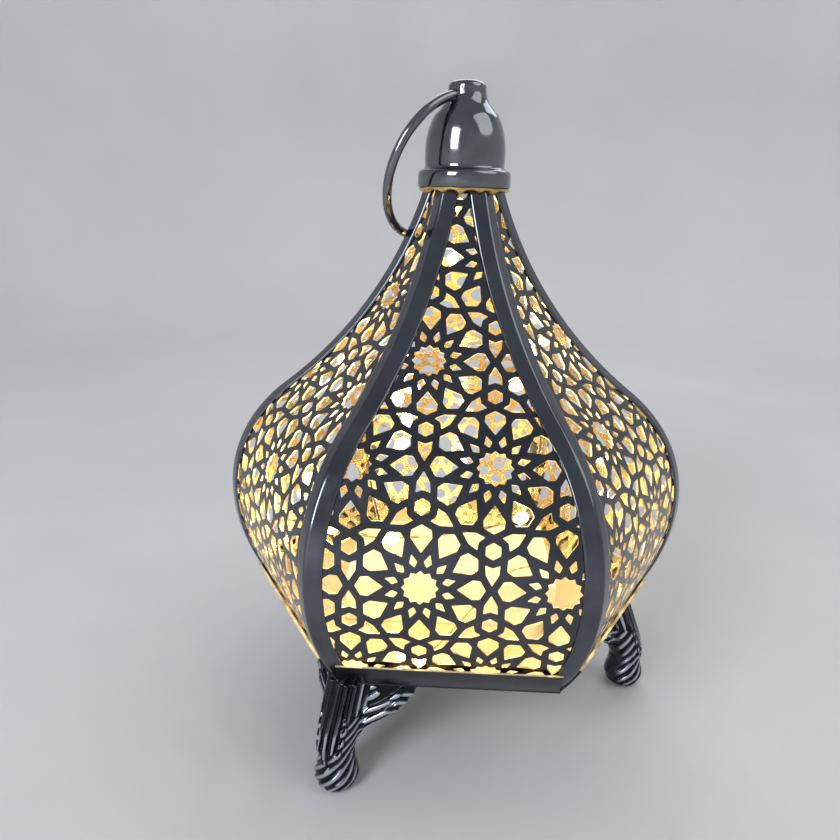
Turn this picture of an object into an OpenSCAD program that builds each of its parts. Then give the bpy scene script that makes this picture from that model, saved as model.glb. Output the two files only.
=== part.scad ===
// Hexagonal pierced metal lantern with an ogee body, three bracket feet, a bell
// shaped finial with a ring handle, and a battery light string inside.
// Units are millimetres, +Z is up, and the feet stand on z = 0. The front face
// looks along -Y. Corners are at 0, 60, ... 300 degrees.

/* [Body] */
// Height of the whole lantern, from the feet to the top of the finial
total_h = 220; // [215:1:225]
// Level of the underside of the base tray
tray_z = 37; // [34:1:40]
// Level at which the body is widest
belly_z = 77.5; // [76:0.5:79]
// Distance from the axis to the middle of a rib-covered face at the belly
belly_a = 72.7; // [70:0.1:76]
// Radius of the lower belly arc
lower_r = 66; // [64:1:72]
// Radius of the upper belly arc
upper_r = 55.7; // [54:0.1:58]
// Slope at which the belly turns into the hollow neck curve, in degrees
turn_angle = 48.5; // [47:0.5:50]
// Radius of the hollow neck curve
neck_r = 140; // [136:1:144]
// Level of the upper ends of the panels and ribs
neck_z = 191; // [190:0.5:191]

/* [Sheet metal] */
// Thickness of the ribs
rib_t = 0.8; // [0.6:0.1:0.9]
// Width of one rib flange, along the face
flange_w = 5; // [4:0.5:6]
// Thickness of the pierced panels
panel_t = 0.6; // [0.5:0.1:0.8]
// Gap between a panel edge and the fold of its rib
panel_edge_gap = 1; // [0.5:0.1:1.5]
// Thickness of the base tray
tray_t = 0.8; // [0.8:0.1:1.2]
// Height of the upturned tray edge, above its underside
tray_edge_h = 10.2; // [8:0.1:12]

/* [Piercing] */
// Spacing of the stars
star_pitch = 40.3; // [38:0.1:43]
// Tip radius of the twelve-pointed star
star_r = 5.3; // [4.5:0.1:5.8]
// Sideways shift of the pattern on each panel
shift_u = [11.1, -9, 6, -15, 12, 17.7];
// Upward shift of the pattern on each panel
shift_v = [9.6, 14.2, 20, 4, 27, 29.4];

/* [Feet] */
// Length of a foot wing along the tray edge
wing_l = 25; // [22:0.5:27]
// Thickness of a foot wing
wing_t = 2.6; // [2:0.1:3]
// Radius of the foot column at its top
column_top_r = 6.9; // [6.4:0.1:7.2]
// Radius of the foot column at its waist
column_waist_r = 5.9; // [5.5:0.1:6.2]
// Radius of the toe
toe_r = 7.4; // [7:0.1:7.8]

/* [Finial and ring] */
// Outer radius of the finial collar
collar_r = 15.4; // [15.3:0.1:16]
// Radius of the finial dome
dome_r = 13.2; // [13:0.1:13.6]
// Radius of the finial neck
knob_r = 6.2; // [6:0.1:6.6]
// Level of the cross hole for the ring
hole_z = 215.8; // [215.5:0.1:216]
// Diameter of the cross hole
hole_d = 5.3; // [5.2:0.1:5.4]
// Direction of the cross hole, in degrees
hole_az = 233; // [230:1:238]
// Radius of the ring, to the middle of its wire
ring_r = 24.5; // [24:0.1:25]
// Diameter of the ring wire
ring_d = 3; // [2.8:0.1:3]
// Angle of the resting ring below level, in degrees
ring_droop = 65.7; // [63:0.1:65.7]

/* [Battery box] */
// Length of the battery box
box_l = 74; // [74:1:76]
// Width of the battery box
box_w = 50; // [50:1:52]
// Wall thickness of the battery box
box_wall = 2; // [1.8:0.1:2]
// Diameter of one AA cell
cell_d = 14.3; // [14:0.1:14.5]
// Length of one AA cell without its nub
cell_l = 49.2; // [49:0.1:49.5]

/* [Light string] */
// Diameter of the light wire
wire_d = 0.8; // [0.6:0.1:1]
// Diameter of one light bead
bead_d = 3.4; // [3:0.1:4]

/* [Hidden] */

far = 120;                       // longer than any half width of the body
eps = 0.01;
full_r = 64;                     // sides given to round solids
tan30 = tan(30);
cos30 = cos(30);
deg = 180 / PI;

// Centres of the three profile arcs, in the (distance from axis, height) plane
lower_cx = belly_a - lower_r;
upper_cx = belly_a - upper_r;
hollow_cx = upper_cx + (upper_r + neck_r) * cos(turn_angle);
hollow_cz = belly_z + (upper_r + neck_r) * sin(turn_angle);

tray_top = tray_z + tray_t;
rivet_d = 3;
rim = 1;                         // solid rim left along a panel edge
hole_z_low = 41;                 // levels between which the sheet is pierced
hole_z_high = 183.6;
hole_v_low = 9.5;                // arc lengths between which a hole shows
hole_v_high = 167;
face_azimuth = [270, 330, 30, 90, 150, 210];

// Distance from the axis to a surface that lies d inside the rib surface
function turn_z(d) = belly_z + (upper_r - d) * sin(turn_angle);
function lower_a(d, z) = lower_cx + sqrt(pow(lower_r - d, 2) - pow(belly_z - z, 2));
function upper_a(d, z) = upper_cx + sqrt(pow(upper_r - d, 2) - pow(z - belly_z, 2));
function hollow_a(d, z) = hollow_cx - sqrt(pow(neck_r + d, 2) - pow(hollow_cz - z, 2));
function face_a(d, z) =
    z < belly_z ? lower_a(d, z)
    : z < turn_z(d) ? upper_a(d, z)
    : hollow_a(d, z);

// Height of the point at arc length v above the lower end of the panel face
panel_low_angle = asin((belly_z - tray_z) / (lower_r - rib_t));
panel_v1 = (lower_r - rib_t) * panel_low_angle / deg;
panel_v2 = panel_v1 + (upper_r - rib_t) * turn_angle / deg;
function z_at(v) =
    v < panel_v1 ? belly_z - (lower_r - rib_t) * sin(panel_low_angle - v / (lower_r - rib_t) * deg)
    : v < panel_v2 ? belly_z + (upper_r - rib_t) * sin((v - panel_v1) / (upper_r - rib_t) * deg)
    : hollow_cz - (neck_r + rib_t) * sin(turn_angle - (v - panel_v2) / (neck_r + rib_t) * deg);

// ---------- body sheet metal ----------

// Half profile of the body, d inside the rib surface, from z0 to z1
module profile(d, z0, z1) {
    turn = turn_z(d);
    difference() {
        translate([0, z0]) square([belly_a + 3, z1 - z0]);
        difference() {
            translate([lower_cx, z0 - 1]) square([far, belly_z - z0 + 2]);
            translate([lower_cx, belly_z]) circle(r = lower_r - d, $fn = full_r);
        }
        difference() {
            translate([upper_cx, belly_z]) square([far, turn - belly_z]);
            translate([upper_cx, belly_z]) circle(r = upper_r - d, $fn = full_r);
        }
        translate([hollow_cx, hollow_cz]) circle(r = neck_r + d, $fn = full_r);
    }
}

// Everything inside one face, from the axis out to d inside the rib surface
module face_core(d, z0, z1) {
    rotate([90, 0, 0])
        linear_extrude(2 * far, center = true) profile(d, z0, z1);
}

// Curved sheet of one face, between the depths d0 and d1
module face_sheet(d0, d1, z0, z1) {
    rotate([90, 0, 0]) linear_extrude(2 * far, center = true) difference() {
        profile(d0, z0, z1);
        profile(d1, z0 - 1, z1 + 1);
    }
}

// Upright wedge that ends short of both corners of a face by gap, from z0 to z1
module face_wedge(gap, z0, z1) {
    translate([0, 0, z0])
        linear_extrude(z1 - z0)
            polygon([[gap / tan30, 0], [far, far * tan30 - gap], [far, gap - far * tan30]]);
}

function polar(r, a) = [r * cos(a), r * sin(a)];

// Points of a curve from a to c that heads for b, without the first one
function bezier(a, b, c, n) =
    [for (i = [1:n]) let (t = i / n) a * pow(1 - t, 2) + b * 2 * t * (1 - t) + c * pow(t, 2)];

// Outlines of the holes, each in the flat sheet
function star_shape() = [for (i = [0:23]) polar(i % 2 == 0 ? star_r : star_r * 0.84, i * 15)];
function petal_shape() = [[10.4, 0], [14.7, -3.1], [16.9, -2.9], [18.5, 0], [16.9, 2.9], [14.7, 3.1]];
function heart_shape() = [[4.8, 0], [4, -2.1], [6.9, -1.9], [10.2, 0], [6.9, 1.9], [4, 2.1]];
function hexagon_shape() = [for (i = [0:5]) polar(2.5, 30 + 60 * i)];
function almond_shape() = [[6.4, 0], [7.9, -1.2], [10.4, 0], [7.9, 1.2]];

function turned(shape, a) =
    [for (p = shape) [p[0] * cos(a) - p[1] * sin(a), p[0] * sin(a) + p[1] * cos(a)]];
function moved(shape, at) = [for (p = shape) p + at];

// A hole is cut where part of it shows between the rib flanges, the tray edge and the collar
function shows(shape) =
    len([for (p = shape)
        if (p[1] > hole_v_low && p[1] < hole_v_high
            && face_a(rib_t, z_at(p[1])) * tan30 - abs(p[0]) > flange_w - 0.5) p]) > 0;

// All holes of one star cell round the star at c
function cell_holes(c) = concat(
    [moved(star_shape(), c)],
    [for (a = [0:30:330]) moved(turned(petal_shape(), a), c)],
    [for (a = [15:30:345]) moved(turned(almond_shape(), a), c)],
    [for (side = [0, 1])
        moved(hexagon_shape(), c + polar(star_pitch / sqrt(3), 30 + 60 * side))],
    [for (side = [0, 1], k = [0:2])
        moved(turned(heart_shape(), (side == 0 ? 30 : 90) + 120 * k),
            c + polar(star_pitch / sqrt(3), 30 + 60 * side))]
);

function star_centres(u0, v0) = [
    for (row = [-1:5], col = [-3:3])
        [u0 + (col + (row % 2 == 0 ? 0 : 0.5)) * star_pitch, v0 + row * star_pitch * cos30]
];

module piercing(index) {
    rotate([90, 0, 90])
        linear_extrude(far)
            for (c = star_centres(shift_u[index], shift_v[index]), hole = cell_holes(c))
                if (shows(hole)) polygon([for (p = hole) [p[0], z_at(p[1])]]);
}

module panel(index) {
    color("slategray") rotate(face_azimuth[index]) difference() {
        intersection() {
            face_sheet(rib_t, rib_t + panel_t, tray_top, neck_z);
            face_wedge(panel_edge_gap, tray_top - 1, neck_z + 1);
        }
        intersection() {
            piercing(index);
            face_wedge(panel_edge_gap + rim, hole_z_low, hole_z_high);
        }
    }
}

// Bent strip over one corner, with a flange on each of its two faces
module rib(corner) {
    strip_w = 2 * flange_w * cos30;
    color("slategray") rotate(corner) difference() {
        intersection() {
            rotate(-30) face_core(0, tray_top, neck_z);
            rotate(30) face_core(0, tray_top, neck_z);
            translate([4, -strip_w / 2, tray_z]) cube([far, strip_w, neck_z]);
        }
        intersection() {
            rotate(-30) face_core(rib_t, tray_top - 1, neck_z + 1);
            rotate(30) face_core(rib_t, tray_top - 1, neck_z + 1);
        }
    }
}

module base_tray() {
    edge_out = -tray_t - 0.1;
    plate_a = face_a(edge_out, tray_z + tray_t / 2);
    half = plate_a * tan30 - 0.4;
    color("dimgray") difference() {
        union() {
            translate([0, 0, tray_z]) cylinder(r = plate_a / cos30, h = tray_t, $fn = 6);
            for (az = face_azimuth) rotate(az) intersection() {
                face_sheet(edge_out, -0.1, tray_z, tray_z + tray_edge_h);
                translate([plate_a - 6, -half, tray_z]) cube([20, 2 * half, tray_edge_h]);
            }
        }
        translate([0, 0, tray_z + tray_t / 2])
            cube([box_l + 0.6, box_w + 0.6, tray_t + 1], center = true);
        for (p = screw_places) translate([p[0], p[1], tray_z - 1])
            cylinder(d = screw_d + 0.4, h = 4, $fn = 32);
        for (corner = foot_corners, side = [-1, 1]) rivet_place(corner, side)
            translate([0, 0, tray_z - 1]) cylinder(d = rivet_d, h = 4, $fn = 32);
    }
}

// ---------- feet ----------

foot_corners = [0, 120, 240];
foot_top = tray_z - 2;               // underside of the foot's fixing flange
foot_corner_r = (face_a(0, tray_z) - 0.5) / cos30;
column_at = foot_corner_r - 5.5;     // distance of the column from the axis, at its top
toe_at = foot_corner_r + 3.2;        // distance of the toe from the axis
rivet_along = 17;                    // distance of a rivet from the corner
rivet_in = 6.5;                      // distance of a rivet from the tray edge
flange_in = 11;                      // width of the fixing flange
relief_h = 0.7;                      // height of the cast relief
lean = 21.5;                         // outward lean of the column, in degrees
wing_lean = 8.7;                     // outward lean of the wings, in degrees

// Frame at a rivet: side -1 and 1 are the two wings of a foot
module rivet_place(corner, side) {
    rotate(corner) mirror([0, side > 0 ? 0 : 1, 0]) wing_place()
        translate([rivet_along, rivet_in, 0]) children();
}

// Frame of one wing: x runs from the corner along the tray edge and y points inwards
module wing_place() {
    translate([foot_corner_r, 0, 0]) rotate(120) children();
}

// Lower edge of a wing, from the column to the wing tip
wing_edge = concat(
    [[4, 14.5]],
    bezier([4, 14.5], [5.5, 20], [13, 23.4], 6),
    bezier([13, 23.4], [20.5, 27.5], [wing_l, tray_z - 0.6], 6)
);
wing_points = len(wing_edge) - 1;

// Raised band that follows the lower edge of a wing, lift above it and w wide
module wing_band(lift, w, from, to) {
    polygon(concat(
        [for (i = [from:to]) wing_edge[i] + [0, lift]],
        [for (i = [to:-1:from]) wing_edge[i] + [0, lift + w]]
    ));
}

module wing() {
    translate([0, 0, tray_z]) rotate([-wing_lean, 0, 0]) translate([0, 0, -tray_z]) {
        translate([0, wing_t, 0]) rotate([90, 0, 0]) linear_extrude(wing_t)
            polygon(concat([[0, 14.5]], wing_edge, [[wing_l, tray_z], [0, tray_z]]));
        translate([0, 0.2, 0]) rotate([90, 0, 0]) linear_extrude(relief_h + 0.2) {
            wing_band(1.5, 2.1, 2, wing_points - 4);
            wing_band(4.6, 2.1, 2, wing_points - 3);
        }
    }
    translate([0, 0.2, foot_top]) cube([wing_l, flange_in, tray_z - foot_top]);
}

// Outline of the leaning fluted column, grown by the relief g
function column_outline(g) = [
    [0, 9], [column_waist_r - 0.5, 9], [column_waist_r + g, 12], [column_waist_r + 0.7 + g, 19],
    [column_top_r + g, 28], [column_top_r + g, tray_z + 4], [0, tray_z + 4]
];

toe_outline = [
    [0, 0], [toe_r - 2.6, 0], [toe_r - 0.9, 1.6], [toe_r, 4.5], [toe_r - 0.3, 6.5],
    [6.2, 9.5], [6.1, 12.5], [5.2, 15.5], [3, 18], [0, 18.5]
];

module foot(corner) {
    color("gray") rotate(corner) difference() {
        union() {
            for (side = [0, 1]) mirror([0, side, 0]) wing_place() wing();
            translate([column_at, 0, tray_z]) rotate([0, -lean, 0]) translate([0, 0, -tray_z]) {
                rotate_extrude($fn = full_r) polygon(column_outline(0));
                for (a = [-48:24:48]) rotate(a - 5)
                    rotate_extrude(angle = 10, $fn = full_r) polygon(column_outline(relief_h));
            }
            translate([toe_at, 0, 0]) rotate_extrude($fn = full_r) polygon(toe_outline);
        }
        translate([0, -far / 2, tray_z]) cube([far, far, far]);
        for (side = [0, 1]) mirror([0, side, 0]) wing_place()
            translate([rivet_along, rivet_in, foot_top - 1]) cylinder(d = rivet_d, h = 4, $fn = 32);
    }
}

module rivet() {
    head_h = 1.2;
    translate([0, 0, foot_top]) cylinder(d = rivet_d, h = tray_top - foot_top, $fn = 32);
    translate([0, 0, foot_top - head_h]) cylinder(d1 = 3.6, d2 = 5.4, h = head_h, $fn = 32);
    translate([0, 0, tray_top]) cylinder(d1 = 5.4, d2 = 3.6, h = head_h, $fn = 32);
}

module foot_rivets() {
    color("silver") for (corner = foot_corners, side = [-1, 1]) rivet_place(corner, side) rivet();
}

// ---------- finial and ring ----------

collar_low = 187.2;
collar_high = 192;
cavity_r = 11.4;
cavity_top = 206;
cavity_taper = 5;

module finial_cap() {
    shoulder = [dome_r - 2.8, 209.4];
    bend = [dome_r - 5, 211.9];
    knob_base = [knob_r + 0.3, 215];
    outline = concat(
        [[0, collar_high], [collar_r - 0.9, collar_high], [collar_r - 0.9, collar_low]],
        [[collar_r, collar_low], [collar_r, collar_high - 0.4], [collar_r - 0.7, collar_high + 0.5]],
        [[dome_r - 0.1, collar_high + 1.2], [dome_r, 198]],
        bezier([dome_r, 198], [dome_r, 204.5], shoulder, 6),
        bezier(shoulder, [dome_r - 3.9, 210.6], bend, 4),
        bezier(bend, [knob_r + 0.8, 213.3], knob_base, 5),
        bezier(knob_base, [knob_r, 216], [knob_r, 217.4], 3),
        bezier([knob_r, 217.4], [knob_r, total_h - 0.6], [knob_r - 3, total_h - 0.2], 5),
        [[0, total_h]]
    );
    color("slategray") difference() {
        rotate_extrude($fn = full_r) polygon(outline);
        translate([0, 0, collar_high - 1])
            cylinder(r = cavity_r, h = cavity_top - cavity_taper - collar_high + 1, $fn = full_r);
        translate([0, 0, cavity_top - cavity_taper - eps])
            cylinder(r1 = cavity_r, r2 = cavity_r - 4, h = cavity_taper, $fn = full_r);
        translate([0, 0, hole_z]) rotate([90, 0, hole_az + 90]) ring_bore();
    }
}

// Cross hole with flared mouths, so that the curved ring wire clears them
module ring_bore() {
    flare_at = knob_r - 0.2;
    flare_l = 4;
    flare_w = 3.2;
    cylinder(d = hole_d, h = 40, center = true, $fn = full_r);
    for (end = [0, 1]) mirror([0, 0, end]) translate([0, 0, flare_at])
        cylinder(d1 = hole_d, d2 = hole_d + flare_w, h = flare_l, $fn = full_r);
}

module neck_plate() {
    plate_z = 184;
    plate_t = 1.2;
    plate_a = face_a(rib_t + panel_t, plate_z + plate_t) - 0.1;
    color("silver") difference() {
        translate([0, 0, plate_z]) cylinder(r = plate_a / cos30, h = plate_t, $fn = 6);
        translate([0, 0, plate_z - 1]) cylinder(d = 6, h = 4, $fn = full_r);
    }
}

// Ring of hot-melt adhesive that seals the collar onto the neck
module adhesive_bead() {
    bead_low = collar_low - 1.9;
    bead_h = collar_low - bead_low;
    wet_a = face_a(0, bead_low) + 0.02;
    color("goldenrod") difference() {
        translate([0, 0, bead_low])
            cylinder(r1 = collar_r - 0.9, r2 = collar_r - 0.3, h = bead_h, $fn = full_r);
        translate([0, 0, bead_low - 1]) cylinder(r = wet_a / cos30, h = bead_h + 2, $fn = 6);
    }
}

module ring_handle() {
    lean_az = hole_az - 90;
    color("dimgray") translate([0, 0, hole_z]) rotate([0, 0, lean_az]) rotate([0, ring_droop, 0])
        translate([ring_r, 0, 0]) rotate_extrude($fn = full_r)
            translate([ring_r, 0]) circle(d = ring_d, $fn = full_r);
}

// ---------- battery box ----------

box_low = tray_z - 3.5;              // lowest level of the box skirt
box_high = 54;
box_az = 180;                        // the door end points to -X and the switch end to +X
bay_low = tray_z - 0.5;              // underside of the cells
cell_z = bay_low + cell_d / 2 + 0.2;
cell_gap = 0.5;
groove_low = box_low + 0.8;
groove_h = 2.2;
door_t = 1.5;
bay_x0 = -24.5;                      // ends of the battery bay
bay_x1 = box_l / 2 - box_wall;
cell_x0 = -15.9;                     // end of a cell that rests on its spring
nub_h = 1.2;
ear_w = 9;
screw_d = 2.8;
screw_places = [for (sx = [-1, 1], sy = [-1, 1]) [sx * 28, sy * (box_w / 2 + 4.5)]];
cell_rows = [-1, 0, 1] * (cell_d + cell_gap);

module battery_box() {
    color("ivory") rotate(box_az) difference() {
        union() {
            translate([-box_l / 2, -box_w / 2, box_low]) cube([box_l, box_w, box_high - box_low]);
            for (p = screw_places) translate([p[0], p[1], tray_top]) {
                cylinder(d = ear_w, h = 6, $fn = full_r);
                translate([-ear_w / 2, p[1] > 0 ? -ear_w / 2 : 0, 0]) cube([ear_w, ear_w / 2, 6]);
            }
        }
        // battery bay, open at its underside
        translate([bay_x0, -box_w / 2 + box_wall, box_low - 1])
            cube([bay_x1 - bay_x0, box_w - 2 * box_wall, box_high - box_low - box_wall + 1]);
        // door grooves, open at the +X end
        translate([bay_x0 - 0.3, -box_w / 2 + 0.8, groove_low])
            cube([box_l, box_w - 1.6, groove_h]);
        translate([bay_x1 - 1, -box_w / 2 + box_wall, box_low - 1])
            cube([10, box_w - 2 * box_wall, groove_h + 1.8]);
        // switch compartment with posts for the board and a slot for the knob
        difference() {
            translate([-box_l / 2 + box_wall, -box_w / 2 + box_wall, box_low + box_wall])
                cube([bay_x0 - 1.5 + box_l / 2 - box_wall, box_w - 2 * box_wall,
                    box_high - box_low - 2 * box_wall]);
            for (side = [-1, 1]) translate([switch_x, side * 15, box_low])
                cylinder(d = 5, h = board_z - box_low, $fn = full_r);
        }
        translate([switch_x, 0, box_low])
            cube([4.4, 9.4, 10], center = true);
        for (p = screw_places) translate([p[0], p[1], tray_top - 1]) cylinder(d = screw_d, h = 6, $fn = 32);
    }
}

module battery_door() {
    tongue = box_w - 1.6 - 0.6;
    door_z = groove_low + (groove_h - door_t) / 2;
    grip_d = 1.2;
    color("ivory") rotate(box_az) difference() {
        union() {
            translate([bay_x0 + 0.1, -tongue / 2, door_z]) cube([bay_x1 - bay_x0 - 0.2, tongue, door_t]);
            translate([bay_x1 - 0.2, -box_w / 2 + box_wall + 0.3, door_z])
                cube([box_wall + 0.2, box_w - 2 * box_wall - 0.6, door_t]);
        }
        for (i = [0:4]) translate([bay_x0 + 16 + 2.4 * i, 0, door_z]) rotate([90, 0, 0])
            cylinder(d = grip_d, h = 22, center = true, $fn = 32);
    }
}

// Cells of a series string: the middle one lies the other way round
module battery_cells() {
    color("darkgreen") rotate(box_az) for (i = [0:2]) translate([0, cell_rows[i], cell_z]) {
        flip = i == 1;
        start = flip ? bay_x0 + contact_t + nub_h : cell_x0;
        translate([start, 0, 0]) rotate([0, 90, 0]) cylinder(d = cell_d, h = cell_l, $fn = full_r);
        translate([flip ? start - nub_h : start + cell_l, 0, 0]) rotate([0, 90, 0])
            cylinder(d = 5.4, h = nub_h, $fn = full_r);
    }
}

contact_t = 0.5;

module battery_contacts() {
    plate = 11;
    color("gold") rotate(box_az) for (y = cell_rows, x = [bay_x0, bay_x1 - contact_t])
        translate([x, y - plate / 2, cell_z - plate / 2]) cube([contact_t, plate, plate]);
}

// Closed helical tube along +X, from x = 0 to x = length
module coil_spring(length, r0, r1, wire_r, turns) {
    sides = 5;
    per_turn = 10;
    n = turns * per_turn;
    rings = [for (i = [0:n])
        let (a = i / per_turn * 360, r = r0 + (r1 - r0) * i / n, x = wire_r + (length - 2 * wire_r) * i / n)
        [for (k = [0:sides - 1])
            let (b = k / sides * 360, q = r + wire_r * cos(b))
            [x + wire_r * sin(b), q * cos(a), q * sin(a)]]];
    points = [for (ring = rings) each ring];
    walls = [for (i = [0:n - 1], k = [0:sides - 1])
        let (a = i * sides + k, b = i * sides + (k + 1) % sides)
        [a, b, b + sides, a + sides]];
    first = [for (k = [sides - 1:-1:0]) k];
    last = [for (k = [0:sides - 1]) n * sides + k];
    polyhedron(points, concat([first], walls, [last]), convexity = 10);
}

module battery_springs() {
    spring_l = cell_x0 - bay_x0 - contact_t;
    color("silver") rotate(box_az) for (i = [0:2]) {
        flip = i == 1;
        translate([flip ? bay_x1 - contact_t : bay_x0 + contact_t, cell_rows[i], cell_z])
            rotate([0, 0, flip ? 180 : 0]) coil_spring(spring_l, 4.4, 3, 0.45, 4);
    }
}

switch_x = -box_l / 2 + box_wall + 4.2;
board_z = 44;

module circuit_board() {
    board_w = 6.8;
    board_l = 38;
    color("seagreen") rotate(box_az) {
        translate([switch_x - board_w / 2, -board_l / 2, board_z]) cube([board_w, board_l, 1.6]);
        translate([switch_x - 2.8, -5.5, board_z - 4]) cube([5.6, 11, 4]);
        translate([switch_x - 2, 10, board_z + 1.6]) cube([4, 5, 1.6]);
        translate([switch_x, -12, board_z + 1.6]) cylinder(d = 5, h = 5, $fn = full_r);
    }
}

// Slide button of the switch, shown in its off place
module switch_knob() {
    knob_low = box_low - 1.2;
    color("black") rotate(box_az) {
        translate([switch_x - 1.8, -3.7, knob_low]) cube([3.6, 4.4, 3.4]);
        translate([switch_x - 1.2, -2.7, knob_low + 3.4 - eps])
            cube([2.4, 2.4, board_z - 4.3 - knob_low - 3.4]);
    }
}

module box_screws() {
    head_h = 1.6;
    color("silver") for (p = screw_places) translate([p[0], p[1], tray_z]) {
        translate([0, 0, -head_h]) cylinder(d = 5.4, h = head_h, $fn = 32);
        cylinder(d = screw_d, h = 5.8, $fn = 32);
    }
}

// ---------- light string ----------

// Places of the beads, from the battery box upwards
bead_places = [
    [-9, -57, 44], [-14, -58, 46], [-55, -39, 77], [-35, -64, 92], [-18, -65, 90],
    [19, -63, 97], [50, -20, 100], [58, 8, 76], [44, 30, 84], [4, 58, 70],
    [-40, 34, 96], [-47, -46, 95], [-45, -46, 100], [-16, -51, 114], [-15, -46, 120],
    [-18, -41, 125], [-14, -36, 127], [18, -36, 129], [25, -19, 137], [29, -8, 138],
    [20, 24, 132], [-20, 30, 124], [-41, -2, 128], [-14, 8, 146], [-3, -14, 165]
];
wire_points = concat([[31, -10, box_high + wire_d / 2], [18, -30, 60]], bead_places);
wire_last = len(wire_points) - 1;

// Direction of the wire at point i, and the point at t on its span from i to i + 1
function heading(i) =
    let (t = wire_points[min(i + 1, wire_last)] - wire_points[max(i - 1, 0)]) t / norm(t);
function span_point(i, t) =
    let (
        a = wire_points[i],
        b = wire_points[i + 1],
        reach = norm(b - a)
    )
    a * (2 * pow(t, 3) - 3 * pow(t, 2) + 1) + b * (3 * pow(t, 2) - 2 * pow(t, 3))
        + heading(i) * reach * (pow(t, 3) - 2 * pow(t, 2) + t)
        + heading(i + 1) * reach * (pow(t, 3) - pow(t, 2));

module light_string() {
    per_span = 3;
    path = concat(
        [for (i = [0:wire_last - 1], s = [0:per_span - 1]) span_point(i, s / per_span)],
        [wire_points[wire_last]]
    );
    sides = 8;
    n = len(path) - 1;
    rings = [for (i = [0:n])
        let (
            t = path[min(i + 1, n)] - path[max(i - 1, 0)],
            across = cross(t, abs(t[2]) > norm(t) * 0.9 ? [1, 0, 0] : [0, 0, 1]),
            e1 = across / norm(across),
            e2 = cross(t / norm(t), e1)
        )
        [for (k = [0:sides - 1])
            let (a = k / sides * 360)
            path[i] + (e1 * cos(a) + e2 * sin(a)) * wire_d / 2]];
    points = [for (ring = rings) each ring];
    walls = [for (i = [0:n - 1], k = [0:sides - 1])
        let (a = i * sides + k, b = i * sides + (k + 1) % sides)
        [a, a + sides, b + sides, b]];
    first = [for (k = [0:sides - 1]) k];
    tail = [for (k = [sides - 1:-1:0]) n * sides + k];
    color("peru") polyhedron(points, concat([first], walls, [tail]), convexity = 10);
}

module led_beads() {
    color("lightyellow") for (p = bead_places) translate(p) sphere(d = bead_d, $fn = 24);
}

panel(0);  // panel_front
panel(1);  // panel_front_right
panel(2);  // panel_rear_right
panel(3);  // panel_rear
panel(4);  // panel_rear_left
panel(5);  // panel_front_left
rib(0);  // rib_right
rib(60);  // rib_rear_right
rib(120);  // rib_rear_left
rib(180);  // rib_left
rib(240);  // rib_front_left
rib(300);  // rib_front_right
base_tray();
foot(0);  // foot_right
foot(120);  // foot_rear_left
foot(240);  // foot_front_left
foot_rivets();
neck_plate();
finial_cap();
adhesive_bead();
ring_handle();
battery_box();
battery_door();
battery_cells();
battery_springs();
battery_contacts();
circuit_board();
switch_knob();
box_screws();
light_string();
led_beads();
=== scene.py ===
"""Look of the pierced metal lantern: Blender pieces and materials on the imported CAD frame."""

import math

import bmesh
import bpy
from mathutils import Matrix, Vector, noise
from mathutils.geometry import delaunay_2d_cdt


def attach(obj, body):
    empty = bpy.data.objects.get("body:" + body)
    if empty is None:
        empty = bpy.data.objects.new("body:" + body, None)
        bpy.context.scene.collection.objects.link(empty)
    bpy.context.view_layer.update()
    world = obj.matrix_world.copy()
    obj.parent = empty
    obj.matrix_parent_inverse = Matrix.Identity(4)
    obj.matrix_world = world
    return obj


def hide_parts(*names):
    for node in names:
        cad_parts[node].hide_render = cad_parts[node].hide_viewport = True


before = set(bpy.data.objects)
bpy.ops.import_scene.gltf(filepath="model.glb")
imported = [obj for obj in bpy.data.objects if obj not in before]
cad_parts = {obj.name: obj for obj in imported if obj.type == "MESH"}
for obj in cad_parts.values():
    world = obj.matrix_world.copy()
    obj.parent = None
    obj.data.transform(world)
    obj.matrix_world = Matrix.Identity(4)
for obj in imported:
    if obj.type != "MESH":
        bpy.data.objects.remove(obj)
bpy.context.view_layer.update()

MM = 0.001

# ---------- driving dimensions of the CAD model, in millimetres ----------

TRAY_Z = 37.0
TRAY_T = 0.8
BELLY_Z = 77.5
BELLY_A = 72.7
LOWER_R = 66.0
UPPER_R = 55.7
NECK_R = 140.0
TURN = math.radians(48.5)
NECK_Z = 191.0
RIB_T = 0.8
PANEL_T = 0.6
FLANGE_W = 5.0
PANEL_GAP = 1.0
TOTAL_H = 220.0
TAN30 = math.tan(math.radians(30))
COS30 = math.cos(math.radians(30))

LOWER_CX = BELLY_A - LOWER_R
UPPER_CX = BELLY_A - UPPER_R
HOLLOW_CX = UPPER_CX + (UPPER_R + NECK_R) * math.cos(TURN)
HOLLOW_CZ = BELLY_Z + (UPPER_R + NECK_R) * math.sin(TURN)
SHEET_LOWER = LOWER_R - RIB_T
SHEET_UPPER = UPPER_R - RIB_T
SHEET_NECK = NECK_R + RIB_T
LOW_ANGLE = math.asin((BELLY_Z - TRAY_Z) / SHEET_LOWER)
V_BELLY = SHEET_LOWER * LOW_ANGLE
V_TURN = V_BELLY + SHEET_UPPER * TURN


def profile(v, d):
    """(distance from the axis, height) at arc length v up the pierced sheet, d inside the rib surface."""
    if v < V_BELLY:
        t = v / SHEET_LOWER - LOW_ANGLE
        return LOWER_CX + (LOWER_R - d) * math.cos(t), BELLY_Z + (LOWER_R - d) * math.sin(t)
    if v < V_TURN:
        t = (v - V_BELLY) / SHEET_UPPER
        return UPPER_CX + (UPPER_R - d) * math.cos(t), BELLY_Z + (UPPER_R - d) * math.sin(t)
    t = TURN - (v - V_TURN) / SHEET_NECK
    return HOLLOW_CX - (NECK_R + d) * math.cos(t), HOLLOW_CZ - (NECK_R + d) * math.sin(t)


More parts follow.
